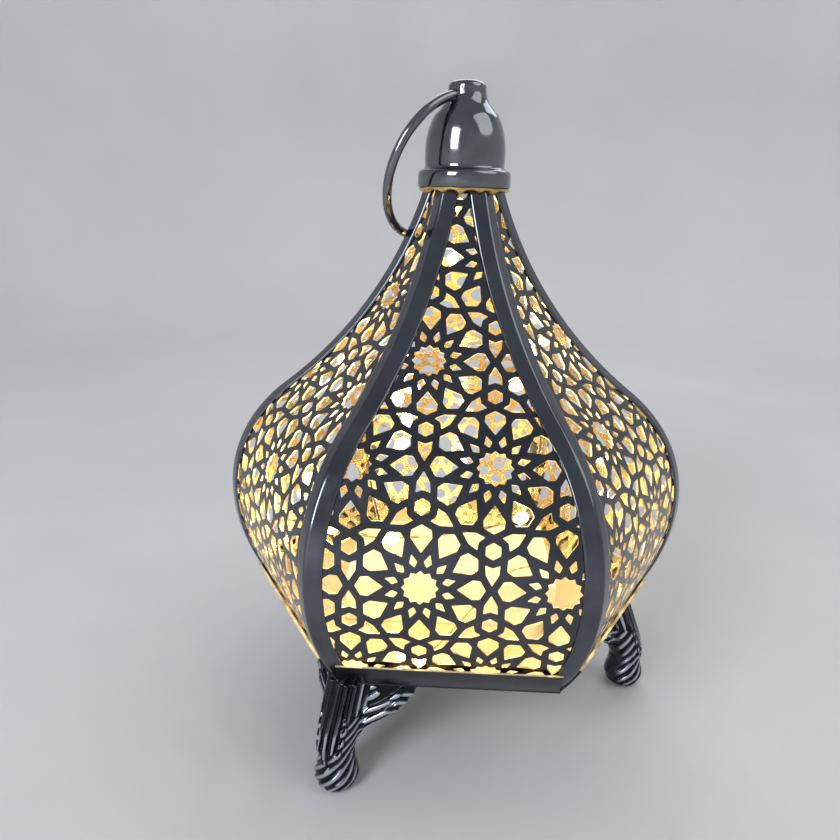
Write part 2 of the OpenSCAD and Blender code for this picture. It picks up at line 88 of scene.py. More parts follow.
def v_at(z):
    """Arc length at which the pierced sheet reaches the height z."""
    low, high = -5.0, 190.0
    for _ in range(40):
        mid = (low + high) / 2
        if profile(mid, RIB_T)[1] < z:
            low = mid
        else:
            high = mid
    return low


V_LOW = v_at(TRAY_Z + TRAY_T)
V_HIGH = v_at(NECK_Z)


def turned(p, degrees):
    a = math.radians(degrees)
    return Vector((p[0] * math.cos(a) - p[1] * math.sin(a), p[0] * math.sin(a) + p[1] * math.cos(a)))


def place(degrees, out, along, z):
    """Point out from the axis towards an azimuth, and along to its left, in metres."""
    a = math.radians(degrees)
    return Vector((
        out * math.cos(a) - along * math.sin(a),
        out * math.sin(a) + along * math.cos(a),
        z,
    )) * MM


# ---------- node materials ----------


class Nodes:
    """Short calls that build one material."""

    def __init__(self, name):
        self.material = bpy.data.materials.new(name)
        self.material.use_nodes = True
        self.tree = self.material.node_tree
        self.shader = self.tree.nodes["Principled BSDF"]
        self.coords = self.tree.nodes.new("ShaderNodeTexCoord").outputs["Object"]

    def add(self, kind, **values):
        node = self.tree.nodes.new(kind)
        for key, value in values.items():
            name = key.replace("_", " ")
            if name in node.inputs:
                node.inputs[name].default_value = value
            else:
                setattr(node, key, value)
        return node

    def link(self, source, target):
        self.tree.links.new(source, target)

    def set(self, **values):
        for key, value in values.items():
            self.shader.inputs[key.replace("_", " ")].default_value = value

    def noise(self, scale, detail=3.0, rough=0.5, stretch=None):
        node = self.add("ShaderNodeTexNoise", Scale=scale, Detail=detail, Roughness=rough)
        source = self.coords
        if stretch:
            mapping = self.add("ShaderNodeMapping")
            mapping.inputs["Scale"].default_value = stretch
            self.link(self.coords, mapping.inputs["Vector"])
            source = mapping.outputs["Vector"]
        self.link(source, node.inputs["Vector"])
        return node.outputs["Fac"]

    def ramp(self, source, stops):
        node = self.tree.nodes.new("ShaderNodeValToRGB")
        elements = node.color_ramp.elements
        while len(elements) < len(stops):
            elements.new(0.5)
        for element, (at, colour) in zip(elements, stops):
            element.position = at
            element.color = (*colour, 1.0)
        self.link(source, node.inputs["Fac"])
        return node.outputs["Color"]

    def span(self, source, low, high, from_low=0.3, from_high=0.7):
        node = self.tree.nodes.new("ShaderNodeMapRange")
        node.inputs["From Min"].default_value = from_low
        node.inputs["From Max"].default_value = from_high
        node.inputs["To Min"].default_value = low
        node.inputs["To Max"].default_value = high
        self.link(source, node.inputs["Value"])
        return node.outputs["Result"]

    def bump(self, source, distance, strength=1.0, under=None):
        node = self.add("ShaderNodeBump", Distance=distance, Strength=strength)
        self.link(source, node.inputs["Height"])
        if under is not None:
            self.link(under, node.inputs["Normal"])
        return node.outputs["Normal"]

    def colour(self, source):
        self.link(source, self.shader.inputs["Base Color"])

    def roughness(self, source):
        self.link(source, self.shader.inputs["Roughness"])

    def normal(self, source):
        self.link(source, self.shader.inputs["Normal"])


def plated(name, dark, light, rough_low, rough_high, wave=0.00012, wave_scale=60.0, pit=0.000012):
    """Nickel-black plated metal: uneven tint, soft waves in the sheet, fine pits and faint smears."""
    m = Nodes(name)
    m.set(Metallic=1.0)
    m.colour(m.ramp(m.noise(45.0, 4.0, 0.6), [(0.3, dark), (0.7, light)]))
    m.roughness(m.span(m.noise(90.0, 5.0, 0.65), rough_low, rough_high))
    waves = m.bump(m.noise(wave_scale, 2.0, 0.4), wave)
    m.normal(m.bump(m.noise(1400.0, 3.0, 0.6), pit, 0.6, waves))
    return m.material


SHEET = plated("plated_sheet", (0.066, 0.069, 0.081), (0.105, 0.112, 0.13), 0.12, 0.22)
RIB = plated("plated_rib", (0.092, 0.098, 0.116), (0.142, 0.152, 0.178), 0.08, 0.17, 0.00016, 42.0)
LATHE = plated("plated_finial", (0.15, 0.155, 0.17), (0.22, 0.23, 0.25), 0.06, 0.13, 0.00005, 30.0)
RING = plated("plated_ring", (0.16, 0.165, 0.18), (0.24, 0.25, 0.27), 0.08, 0.18, 0.00004, 120.0)


def inner_sheet_painted_glow():
    """Shiny, crinkled inner side with a painted warm glow in its colour, bright and warm where the outer
    side is dark; the light beads light it as well.
    """
    m = Nodes("sheet_inside_painted_glow")
    m.set(Metallic=0.9)
    # Painted warm glow of the light beads, in the base colour
    m.colour(m.ramp(m.noise(70.0, 4.0, 0.6), [(0.25, (0.66, 0.52, 0.27)), (0.75, (0.86, 0.72, 0.43))]))
    m.roughness(m.span(m.noise(160.0, 4.0, 0.6), 0.12, 0.26))
    m.normal(m.bump(m.noise(110.0, 4.0, 0.6), 0.0005))
    return m.material


def cut_edge():
    """Bright cut edge of the pierced sheet."""
    m = Nodes("sheet_cut_edge")
    m.set(Metallic=0.9)
    m.colour(m.ramp(m.noise(300.0, 3.0), [(0.3, (0.70, 0.62, 0.46)), (0.7, (0.86, 0.80, 0.66))]))
    m.roughness(m.span(m.noise(500.0, 3.0), 0.25, 0.4))
    return m.material


def tray_metal_painted_glow():
    """Tray sheet: dark plating on the faces that point down or sideways; the faces that point up into the
    body get a painted warm glow, bright and less metallic.
    """
    m = Nodes("tray_metal_painted_glow")
    facing = m.tree.nodes.new("ShaderNodeNewGeometry").outputs["Normal"]
    split = m.add("ShaderNodeSeparateXYZ")
    m.link(facing, split.inputs["Vector"])
    painted_glow_share = m.span(split.outputs["Z"], 0.0, 1.0, 0.4, 0.7)
    blend = m.add("ShaderNodeMix", data_type="RGBA")
    m.link(painted_glow_share, blend.inputs["Factor"])
    m.link(m.ramp(m.noise(45.0, 4.0), [(0.3, (0.045, 0.046, 0.052)), (0.7, (0.08, 0.083, 0.095))]),
           blend.inputs["A"])
    # Painted warm glow on the faces that point up
    m.link(m.ramp(m.noise(70.0, 4.0), [(0.3, (0.80, 0.68, 0.42)), (0.7, (0.92, 0.82, 0.58))]),
           blend.inputs["B"])
    m.colour(blend.outputs["Result"])
    m.link(m.span(painted_glow_share, 1.0, 0.25, 0.0, 1.0), m.shader.inputs["Metallic"])
    m.roughness(m.span(m.noise(120.0, 4.0), 0.16, 0.30))
    m.normal(m.bump(m.noise(55.0, 2.0), 0.0001))
    return m.material


def casting():
    """Polished casting with painted shade in its low places: the relief attribute runs from 0 in them to
    1.
    """
    m = Nodes("plated_casting")
    m.set(Metallic=1.0)
    relief = m.add("ShaderNodeAttribute", attribute_name="relief").outputs["Fac"]
    # Painted shade: near black in the low places of the relief, brighter towards the crests
    m.colour(m.ramp(relief, [
        (0.45, (0.022, 0.022, 0.026)), (0.78, (0.10, 0.105, 0.12)), (0.96, (0.50, 0.53, 0.60)),
    ]))
    m.roughness(m.span(m.noise(220.0, 4.0, 0.6), 0.12, 0.26))
    m.normal(m.bump(m.noise(420.0, 3.0, 0.5), 0.00005))
    return m.material


def adhesive():
    m = Nodes("adhesive")
    m.set(Roughness=0.18, Transmission_Weight=0.45, IOR=1.5, Coat_Weight=0.4)
    m.colour(m.ramp(m.noise(260.0, 3.0), [(0.3, (0.62, 0.34, 0.05)), (0.7, (0.92, 0.66, 0.22))]))
    m.normal(m.bump(m.noise(340.0, 3.0, 0.6), 0.0003))
    return m.material


def moulded(name, low, high, rough=(0.42, 0.56), grain=0.00002):
    """Moulded plastic with a fine spark texture and a little uneven tint."""
    m = Nodes(name)
    m.colour(m.ramp(m.noise(60.0, 4.0), [(0.3, low), (0.7, high)]))
    m.roughness(m.span(m.noise(240.0, 4.0), *rough))
    m.normal(m.bump(m.noise(2200.0, 2.0, 0.6), grain))
    return m.material


def steel():
    m = Nodes("bright_steel")
    m.set(Metallic=1.0)
    m.colour(m.ramp(m.noise(180.0, 4.0), [(0.3, (0.55, 0.55, 0.56)), (0.7, (0.72, 0.72, 0.72))]))
    m.roughness(m.span(m.noise(700.0, 4.0, 0.6, (1.0, 1.0, 0.1)), 0.2, 0.38))
    m.normal(m.bump(m.noise(1600.0, 2.0), 0.00001))
    return m.material


def copper():
    m = Nodes("lacquered_copper")
    m.set(Metallic=1.0)
    m.colour(m.ramp(m.noise(200.0, 3.0), [(0.3, (0.60, 0.33, 0.15)), (0.7, (0.86, 0.56, 0.32))]))
    m.roughness(m.span(m.noise(600.0, 3.0), 0.16, 0.3))
    return m.material


def contact_metal():
    m = Nodes("contact_metal")
    m.set(Metallic=1.0)
    m.colour(m.ramp(m.noise(240.0, 3.0), [(0.3, (0.64, 0.55, 0.34)), (0.7, (0.80, 0.72, 0.50))]))
    m.roughness(m.span(m.noise(500.0, 3.0), 0.2, 0.34))
    return m.material


def circuit():
    m = Nodes("circuit_board")
    m.set(Coat_Weight=0.3)
    tracks = m.add("ShaderNodeTexVoronoi", Scale=420.0, feature="DISTANCE_TO_EDGE")
    m.link(m.coords, tracks.inputs["Vector"])
    m.colour(m.ramp(tracks.outputs["Distance"], [(0.03, (0.10, 0.40, 0.20)), (0.09, (0.02, 0.16, 0.08))]))
    m.roughness(m.span(m.noise(500.0, 3.0), 0.28, 0.42))
    return m.material


def cell_wrap():
    """Printed film of a battery cell: a dark body with a copper coloured end, told apart by place."""
    m = Nodes("cell_wrap")
    split = m.add("ShaderNodeSeparateXYZ")
    m.link(m.coords, split.inputs["Vector"])
    m.colour(m.ramp(m.span(split.outputs["X"], 0.0, 1.0, -0.027, 0.023), [
        (0.76, (0.02, 0.035, 0.03)), (0.78, (0.55, 0.30, 0.12)),
    ]))
    m.roughness(m.span(m.noise(300.0, 3.0), 0.2, 0.34))
    return m.material


def led_resin(strength):
    """Drop of resin that glows all over, with an uneven warm tint."""
    m = Nodes("led_resin")
    m.set(Roughness=0.12, Base_Color=(1.0, 0.86, 0.55, 1.0), Emission_Strength=strength)
    m.link(m.ramp(m.noise(500.0, 2.0), [(0.3, (1.0, 0.66, 0.24)), (0.7, (1.0, 0.86, 0.52))]),
           m.shader.inputs["Emission Color"])
    return m.material


INSIDE_PAINTED_GLOW = inner_sheet_painted_glow()
EDGE = cut_edge()
TRAY_PAINTED_GLOW = tray_metal_painted_glow()
CASTING_PAINTED_SHADE = casting()
ADHESIVE = adhesive()
IVORY = moulded("ivory_plastic", (0.80, 0.75, 0.62), (0.90, 0.86, 0.74))
BLACK = moulded("black_plastic", (0.018, 0.018, 0.02), (0.035, 0.035, 0.038))
STEEL = steel()
COPPER = copper()
CONTACT = contact_metal()
CIRCUIT = circuit()
CELL = cell_wrap()
LED = led_resin(16.0)

CAD_LOOKS = {
    "base_tray": TRAY_PAINTED_GLOW, "foot_rivets": STEEL, "neck_plate": STEEL, "box_screws": STEEL,
    "battery_box": IVORY, "battery_door": IVORY, "battery_cells": CELL, "battery_springs": STEEL,
    "battery_contacts": CONTACT, "circuit_board": CIRCUIT, "switch_knob": BLACK,
}
for node, look in CAD_LOOKS.items():
    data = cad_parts[node].data
    data.materials.clear()
    data.materials.append(look)


def piece(name, verts, faces, materials, indices=None, sharp=35.0, body="lantern", replaces=()):
    """New mesh piece in metres that rides on a body."""
    mesh = bpy.data.meshes.new(name)
    mesh.from_pydata([tuple(v) for v in verts], [], faces)
    for material in materials:
        mesh.materials.append(material)
    if indices:
        mesh.polygons.foreach_set("material_index", indices)
    mesh.polygons.foreach_set("use_smooth", [True] * len(mesh.polygons))
    mesh.set_sharp_from_angle(angle=math.radians(sharp))
    mesh.validate()
    obj = bpy.data.objects.new(name, mesh)
    bpy.context.scene.collection.objects.link(obj)
    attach(obj, body)
    if replaces:
        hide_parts(*replaces)
    return obj


# ---------- pierced panels ----------

# Distances in the flat sheet, in millimetres
STAR_PITCH = 40.3
STAR_R = 5.3
STAR_NOTCH = 0.84
CORNER_SHARE = 0.42
HOLE_LOW_MARGIN = 2
HOLE_HIGH_MARGIN = 4
HOLE_SIDE_MARGIN = FLANGE_W - 1
# Each panel's azimuth, and how far its pattern is shifted sideways and up the sheet
FACES = {
    "panel_front": (270, 11.1, 9.6),
    "panel_front_right": (330, -9.0, 14.2),
    "panel_rear_right": (30, 6.0, 20.0),
    "panel_rear": (90, -15.0, 4.0),
    "panel_rear_left": (150, 12.0, 27.0),
    "panel_front_left": (210, 17.7, 29.4),
}
GRID_STEP = 2.5


def polar(r, degrees):
    return Vector((r * math.cos(math.radians(degrees)), r * math.sin(math.radians(degrees))))


def rounded(points, radius, steps=3):
    """Outline with its corners rounded off."""
    out = []
    for i, p in enumerate(points):
        before, after = points[i - 1], points[(i + 1) % len(points)]
        cut = min(radius, CORNER_SHARE * (before - p).length, CORNER_SHARE * (after - p).length)
        start = p + (before - p).normalized() * cut
        end = p + (after - p).normalized() * cut
        for j in range(steps):
            t = j / (steps - 1)
            out.append(start * (1 - t) ** 2 + p * 2 * t * (1 - t) + end * t * t)
    return out


def both_sides(points):
    """Outline from its half above the axis, given as (along, across) pairs from tip to tail."""
    upper = [Vector(p) for p in points]
    lower = [Vector((p[0], -p[1])) for p in points[1:-1]]
    return [upper[0]] + lower + [upper[-1]] + upper[-2:0:-1]


STAR = rounded([polar(STAR_R if i % 2 == 0 else STAR_R * STAR_NOTCH, i * 15) for i in range(24)], 0.12)
PETAL = rounded(both_sides([(10.4, 0), (14.7, 3.1), (16.9, 2.9), (18.5, 0)]), 0.3)
HEART = rounded(both_sides([(4.8, 0), (4.0, 2.1), (6.9, 1.9), (10.2, 0)]), 0.25)
HEXAGON = rounded([polar(2.5, 30 + 60 * i) for i in range(6)], 0.22)
ALMOND = rounded(both_sides([(6.4, 0), (7.9, 1.2), (10.4, 0)]), 0.35)


def turned_shape(shape, degrees):
    return [turned(p, degrees) for p in shape]


def cell_holes(centre):
    """Outlines of all holes that belong to one star of the pattern."""
    yield [centre + p for p in STAR]
    for a in range(0, 360, 30):
        yield [centre + p for p in turned_shape(PETAL, a)]
        yield [centre + p for p in turned_shape(ALMOND, a + 15)]
    for side in (0, 1):
        hub = centre + polar(STAR_PITCH / math.sqrt(3), 30 + 60 * side)
        yield [hub + p for p in HEXAGON]
        for k in range(3):
            yield [hub + p for p in turned_shape(HEART, (30 if side == 0 else 90) + 120 * k)]


def shows(p):
    """Whether a hole that reaches the flat point p is cut."""
    reach = profile(p.y, RIB_T)[0] * TAN30 - HOLE_SIDE_MARGIN
    return V_LOW + HOLE_LOW_MARGIN < p.y < V_HIGH - HOLE_HIGH_MARGIN and abs(p.x) < reach


def panel(name, azimuth, u0, v0):
    """One sheet, cut flat with its holes, then bent to the profile and given its thickness."""
    rows = max(2, round((V_HIGH - V_LOW) / GRID_STEP))
    levels = [V_LOW + (V_HIGH - V_LOW) * i / rows for i in range(rows + 1)]
    half = [profile(v, RIB_T)[0] * TAN30 - PANEL_GAP for v in levels]
    verts = [Vector((-h, v)) for h, v in zip(half, levels)]
    verts += [Vector((h, v)) for h, v in zip(half, levels)]
    count = len(levels)
    faces = [list(range(count, 2 * count)) + list(range(count - 1, -1, -1))]
    edges = [(i, count + i) for i in range(1, count - 1)]
    for row in range(-1, 6):
        for col in range(-3, 4):
            across = (col + 0.5 * (row % 2)) * STAR_PITCH
            centre = Vector((u0 + across, v0 + row * STAR_PITCH * COS30))
            for hole in cell_holes(centre):
                if not any(shows(p) for p in hole):
                    continue
                first = len(verts)
                verts.extend(hole)
                faces.append(list(range(first, first + len(hole))))
    points, _, tris, _, _, owners = delaunay_2d_cdt(verts, edges, faces, 0, 1e-5, True)
    kept = [tri for tri, owner in zip(tris, owners) if 0 in owner and len(owner) == 1]
    used = sorted({i for tri in kept for i in tri})
    index = {old: new for new, old in enumerate(used)}
    outer, inner = [], []
    for old in used:
        u, v = points[old]
        outer.append(place(azimuth, *bent(u, v, RIB_T)))
        inner.append(place(azimuth, *bent(u, v, RIB_T + PANEL_T)))
    size = len(used)
    out_faces, looks, seen = [], [], {}
    for tri in kept:
        a = [index[i] for i in tri]
        out_faces.append(a)
        looks.append(0)
        out_faces.append([i + size for i in reversed(a)])
        looks.append(1)
        for i in range(3):
            seen[(a[i], a[(i + 1) % 3])] = True
    for a, b in seen:
        if (b, a) not in seen:
            out_faces.append([b, a, a + size, b + size])
            looks.append(2)
    return piece(name + "_sheet", outer + inner, out_faces, [SHEET, INSIDE_PAINTED_GLOW, EDGE], looks,
                 replaces=(name,))


def bent(u, v, d):
    """(out, along, z) of the flat point u, v on the bent sheet."""
    a, z = profile(v, d)
    return a, u, z


for name, (azimuth, u0, v0) in FACES.items():
    panel(name, azimuth, u0, v0)


# ---------- ribs ----------

RIBS = {
    "rib_right": 0, "rib_rear_right": 60, "rib_rear_left": 120,
    "rib_left": 180, "rib_front_left": 240, "rib_front_right": 300,
}
FOLD_R = 1.3
EDGE_ROUND = 0.15
EDGE_DEPTH = 0.12


def rib_section():
    """Section across a rib's sheet, as (back from the sharp corner, sideways)."""
    tangent = FOLD_R * TAN30
    points = []
    for s in (FLANGE_W - EDGE_ROUND, 4.2, 3.0, 2.0, tangent + 0.3, tangent):
        points.append((-0.5 * s, COS30 * s))
    for a in (20, 10, 0):
        fold = polar(FOLD_R, a)
        points.append((fold.x - FOLD_R / COS30, fold.y))
    return points + [(x, -y) for x, y in reversed(points[:-1])]


def rib(name, corner):
    """Bent strip over one corner, with rounded long edges."""
    steps = 90
    edge_depths = (EDGE_DEPTH, RIB_T - EDGE_DEPTH)
    section = rib_section()
    verts, rows = [], []
    for i in range(steps + 1):
        v = V_LOW + (V_HIGH - V_LOW) * i / steps
        a, z = profile(v, 0.0)
        ring = [(a / COS30 + x, y, z) for x, y in section]
        for d in edge_depths:
            a, z = profile(v, d)
            ring.append((a / COS30 - 0.5 * FLANGE_W, -COS30 * FLANGE_W, z))
        a, z = profile(v, RIB_T)
        ring += [(a / COS30 + x, y, z) for x, y in reversed(section)]
        for d in reversed(edge_depths):
            a, z = profile(v, d)
            ring.append((a / COS30 - 0.5 * FLANGE_W, COS30 * FLANGE_W, z))
        rows.append(list(range(len(verts), len(verts) + len(ring))))
        verts += [place(corner, out, along, z) for out, along, z in ring]
    return piece(name + "_strip", verts, skin(rows), [RIB], replaces=(name,),
                 sharp=40.0)


def skin(rows):
    """Faces between rows of vertex numbers, the rows being closed rings, with both ends capped."""
    faces = []
    n = len(rows[0])
    for a, b in zip(rows, rows[1:]):
        for k in range(n):
            j = (k + 1) % n
            faces.append([a[k], a[j], b[j], b[k]])
    faces.append(list(reversed(rows[0])))
    faces.append(list(rows[-1]))
    return faces


for name, corner in RIBS.items():
    rib(name, corner)


# ---------- feet ----------

FEET = {"foot_right": 0, "foot_rear_left": 120, "foot_front_left": 240}
FOOT_CORNER_R = (LOWER_CX + math.sqrt(LOWER_R ** 2 - (BELLY_Z - TRAY_Z) ** 2) - 0.5) / COS30
COLUMN_AT = FOOT_CORNER_R - 5.5
TOE_AT = FOOT_CORNER_R + 3.2
FOOT_LEAN = math.tan(math.radians(21.5))
FLUTE_STEP = 24.0
FLUTE_TIPS = (11.0, 15.5, 26.0)
RELIEF_H = 0.6
FLUTE_SHARPNESS = 0.18
FLUTE_WIDENING = 0.2
SLANT_RISE = 5.5
SLANT_STEP = 3.6
SLANT_HALF_W = 0.34
COLUMN_ONLY_BELOW = 14
COLUMN_EDGE = (7.4, 8.4)
RELIEF_BACK = 9.0
# Relief value given to the plain faces, which also sets their painted shade
PLAIN_RELIEF = 0.6
VOXEL = 0.3
# Each band's half width and its route on the wing, as (along the tray edge, height)
WING_BANDS = (
    (1.15, [(2.1, 21), (5.1, 22.5), (9.7, 24.4), (14.2, 26.7), (18.5, 27.1)]),
    (1.15, [(3.2, 25.4), (6.9, 26.8), (11.1, 28), (15.7, 29.7), (21.9, 30.2)]),
    (1.0, [(15.3, 31.6), (18.6, 32.6), (23.5, 33)]),
    (1.1, [(7.7, 30.6), (9.8, 31.2), (12.2, 33)]),
    (0.9, [(8, 34), (11, 34.9)]),
)


def column_axis(z):
    """Distance of the foot's middle line from the lantern's axis at the height z."""
    return min(COLUMN_AT + FOOT_LEAN * (TRAY_Z - z), TOE_AT)


def route_distance(p, route):
    """(distance of p from a route of points, share of the way along it)."""
    best, share = 99.0, 0.0
    for i, (a, b) in enumerate(zip(route, route[1:])):
        span = b - a
        t = min(1.0, max(0.0, (p - a).dot(span) / span.length_squared))
        gap = (p - a - span * t).length
        if gap < best:
            best, share = gap, (i + t) / (len(route) - 1)
    return best, share


def step(low, high, x):
    t = min(1.0, max(0.0, (x - low) / (high - low)))
    return t * t * (3 - 2 * t)


def ridge(offset, half_width):
    """Rounded ridge, 1 along its crest and 0 from its foot on."""
    t = abs(offset) / half_width
    return 0.0 if t >= 1 else math.sqrt(1 - t * t)


def oval(x, z, centre, slope, length, width):
    """Leaf with its middle at centre, slanting by slope degrees."""
    a = math.radians(slope)
    along = (x - centre[0]) * math.cos(a) + (z - centre[1]) * math.sin(a)
    across = (z - centre[1]) * math.cos(a) - (x - centre[0]) * math.sin(a)
    t = abs(along) / length
    return 0.0 if t >= 1 else ridge(across, width * (1 - t * t) + 0.01)


def wing_relief(s, z):
    """Leaf bands that follow the arch of a wing, each drawn out to a tip at both ends."""
    p = Vector((s, z))
    height = 0.0
    for half_width, route in WING_BANDS:
        gap, share = route_distance(p, [Vector(q) for q in route])
        taper = math.sqrt(1 - (2 * share - 1) ** 4)
        height = max(height, ridge(gap, half_width * (0.25 + 0.75 * taper)))
    return height


def column_relief(angle, z):
    """Flutes that end in tips down the column, slanting ridges below them and a small oval boss."""
    index = round(angle / FLUTE_STEP)
    tip = FLUTE_TIPS[min(abs(index), len(FLUTE_TIPS) - 1)]
    widening = FLUTE_WIDENING * step(tip - 1, tip + 3.5, z)
    flute = ridge(angle / FLUTE_STEP - index, FLUTE_SHARPNESS + widening)
    slant = (z - SLANT_RISE * math.radians(angle)) / SLANT_STEP
    slanting = ridge((slant + 0.5) % 1.0 - 0.5, SLANT_HALF_W)
    share = step(tip - 0.8, tip + 0.8, z)
    boss = oval(angle / 8, z, (1.0, 8.5), 60, 2.0, 1.0)
    return max(flute * share + slanting * (1 - share), boss)


def foot_mesh():
    """The right foot's solid with rounded edges and cast relief, cut into its outer side."""
    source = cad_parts["foot_right"]
    mesh = source.data.copy()
    mesh.transform(source.matrix_world)
    obj = bpy.data.objects.new("foot_form", mesh)
    bpy.context.scene.collection.objects.link(obj)
    remesh = obj.modifiers.new("even", "REMESH")
    remesh.mode = "VOXEL"
    remesh.voxel_size = VOXEL * MM
    soften = obj.modifiers.new("round", "SMOOTH")
    soften.factor = 0.5
    soften.iterations = 7
    bpy.context.view_layer.update()
    done = bpy.data.meshes.new_from_object(obj.evaluated_get(bpy.context.evaluated_depsgraph_get()))
    bpy.data.objects.remove(obj)
    relief_shade_values, places = [], []
    for vertex in done.vertices:
        x, y, z = vertex.co / MM
        n = vertex.normal
        axis_x = column_axis(z)
        radial = Vector((x - axis_x + RELIEF_BACK, y, 0)).normalized()
        facing = step(0.15, 0.5, n.dot(radial)) * step(0.2, 1.0, TRAY_Z - z) * step(0.0, 0.6, z)
        from_axis = math.hypot(x - axis_x, y)
        on_column = 1.0 if z < COLUMN_ONLY_BELOW else 1 - step(*COLUMN_EDGE, from_axis)
        height = 1.0
        if facing > 0:
            height = on_column * column_relief(math.degrees(math.atan2(y, x - axis_x)), z)
            if on_column < 1:
                along_wing = COS30 * abs(y) - 0.5 * (x - FOOT_CORNER_R)
                height += (1 - on_column) * wing_relief(along_wing, z)
        relief_shade_values.append(height * facing + PLAIN_RELIEF * (1 - facing))
        places.append(vertex.co - n * (RELIEF_H * (1 - height) * facing * MM))
    for vertex, place_now in zip(done.vertices, places):
        vertex.co = place_now
    done.materials.clear()
    done.materials.append(CASTING_PAINTED_SHADE)
    done.polygons.foreach_set("material_index", [0] * len(done.polygons))
    done.polygons.foreach_set("use_smooth", [True] * len(done.polygons))
    # The relief values also set the casting's painted shade
    layer = done.attributes.new("relief", "FLOAT", "POINT")
    layer.data.foreach_set("value", relief_shade_values)
    return done


FOOT_MESH = foot_mesh()
for name, corner in FEET.items():
    form = FOOT_MESH.copy()
    form.transform(Matrix.Rotation(math.radians(corner), 4, "Z"))
    cast = bpy.data.objects.new(name + "_cast", form)
    bpy.context.scene.collection.objects.link(cast)
    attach(cast, "lantern")
    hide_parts(name)


# ---------- finial, adhesive and ring ----------

COLLAR_R = 15.4
COLLAR_LOW = 187.2
COLLAR_HIGH = 192.0
DOME_R = 13.2
KNOB_R = 6.2
HOLE_Z = 215.8
HOLE_D = 5.3
HOLE_AZ = 233.0
RING_R = 24.5
RING_D = 3.0
RING_DROOP = math.radians(65.7)
RING_JOINT_AT = math.radians(152)


def arc(a, b, c, n):
    """Points of a curve from a to c that heads for b, without the first one."""
    a, b, c = Vector(a), Vector(b), Vector(c)
    shares = [i / n for i in range(1, n + 1)]
    return [tuple(a * (1 - t) ** 2 + b * 2 * t * (1 - t) + c * t * t) for t in shares]


def lathe(outline, sides):
    """Rings of vertices round the axis for a closed outline of (radius, height)."""
    verts, rows = [], []
    for k in range(sides):
        a = 360.0 * k / sides
        row = []
        for r, z in outline:
            row.append(len(verts))
            verts.append(place(a, r, 0, z))
        rows.append(row)
    faces = []
    n = len(outline)
    for k in range(sides):
        a, b = rows[k], rows[(k + 1) % sides]
        for i in range(n - 1):
            faces.append([a[i], b[i], b[i + 1], a[i + 1]])
    return verts, faces


def finial_outline():
    """Closed half section of the cap, from the top of its cavity round to the top of its knob."""
    shoulder, bend, base = (DOME_R - 2.8, 209.4), (DOME_R - 5, 211.9), (KNOB_R + 0.3, 215)
    skirt_in = COLLAR_R - 0.9
    cavity = [(0.001, 206), (7.4, 205.8), (11.3, 201.2), (11.4, COLLAR_HIGH), (11.5, COLLAR_HIGH - 0.1)]
    skirt = [
        (skirt_in - 0.1, COLLAR_HIGH - 0.1), (skirt_in, COLLAR_HIGH - 0.3),
        (skirt_in, COLLAR_LOW + 0.1), (skirt_in + 0.15, COLLAR_LOW),
        (COLLAR_R - 0.2, COLLAR_LOW), (COLLAR_R, COLLAR_LOW + 0.3),
    ]
    rim, foot = (COLLAR_R - 1.1, COLLAR_HIGH + 0.6), (DOME_R - 0.1, COLLAR_HIGH + 2.2)
    return (
        cavity + skirt + [(COLLAR_R, COLLAR_HIGH - 1.4)]
        + arc((COLLAR_R, COLLAR_HIGH - 1.4), (COLLAR_R, COLLAR_HIGH + 0.3), rim, 5)
        + arc(rim, (DOME_R - 0.2, COLLAR_HIGH + 0.9), foot, 5)
        + [(DOME_R, 196), (DOME_R, 198)]
        + arc((DOME_R, 198), (DOME_R, 204.5), shoulder, 12)
        + arc(shoulder, (DOME_R - 3.9, 210.6), bend, 6)
        + arc(bend, (KNOB_R + 0.8, 213.3), base, 8)
        + arc(base, (KNOB_R, 216), (KNOB_R, 217.4), 5)
        + arc((KNOB_R, 217.4), (KNOB_R, TOTAL_H - 0.5), (KNOB_R - 2.6, TOTAL_H - 0.25), 8)
        + [(1.5, TOTAL_H - 0.02), (0.001, TOTAL_H)]
    )


def bore_tool():
    """Solid of the cross hole with its flared mouths, laid along the hole."""
    flare_at, flare_l, flare_w = KNOB_R - 0.2, 4.0, 3.2
    wide = (HOLE_D + flare_w) / 2
    half = [(flare_at, HOLE_D / 2), (flare_at + flare_l, wide)]
    stops = [(-along, r) for along, r in reversed(half)] + half
    sides = 48
    verts, rows = [], []
    for along, r in stops:
        rows.append(list(range(len(verts), len(verts) + sides)))
        for k in range(sides):
            a = 2 * math.pi * k / sides
            side, lift = r * math.cos(a), r * math.sin(a)
            verts.append(place(HOLE_AZ, along, side, HOLE_Z + lift))
    mesh = bpy.data.meshes.new("bore")
    mesh.from_pydata([tuple(v) for v in verts], [], skin(rows))
    form = bmesh.new()
    form.from_mesh(mesh)
    bmesh.ops.recalc_face_normals(form, faces=form.faces)
    form.to_mesh(mesh)
    form.free()
    drill = bpy.data.objects.new("bore", mesh)
    bpy.context.scene.collection.objects.link(drill)
    return drill


def finial():
    """Turned cap with its cross hole cut through the knob."""
    verts, faces = lathe(finial_outline(), 128)
    cap = piece("finial_cap_turned", verts, faces, [LATHE], replaces=("finial_cap",),
                sharp=40.0)
    drill = bore_tool()
    cut = cap.modifiers.new("bore", "BOOLEAN")
    cut.operation = "DIFFERENCE"
    cut.solver = "EXACT"
    cut.object = drill
    bpy.context.view_layer.update()
    done = bpy.data.meshes.new_from_object(cap.evaluated_get(bpy.context.evaluated_depsgraph_get()))
    cap.modifiers.clear()
    cap.data = done
    done.polygons.foreach_set("use_smooth", [True] * len(done.polygons))
    done.set_sharp_from_angle(angle=math.radians(40))
    bpy.data.objects.remove(drill)
    return cap


finial()


# Lumps of the adhesive: azimuth, half width in degrees and how far each hangs down, in millimetres
DRIPS = (
    (266, 5, 1.5), (292, 4, 0.6), (312, 7, 1.1), (240, 6, 0.7), (200, 8, 0.9), (120, 6, 1.2), (40, 7, 0.8),
)


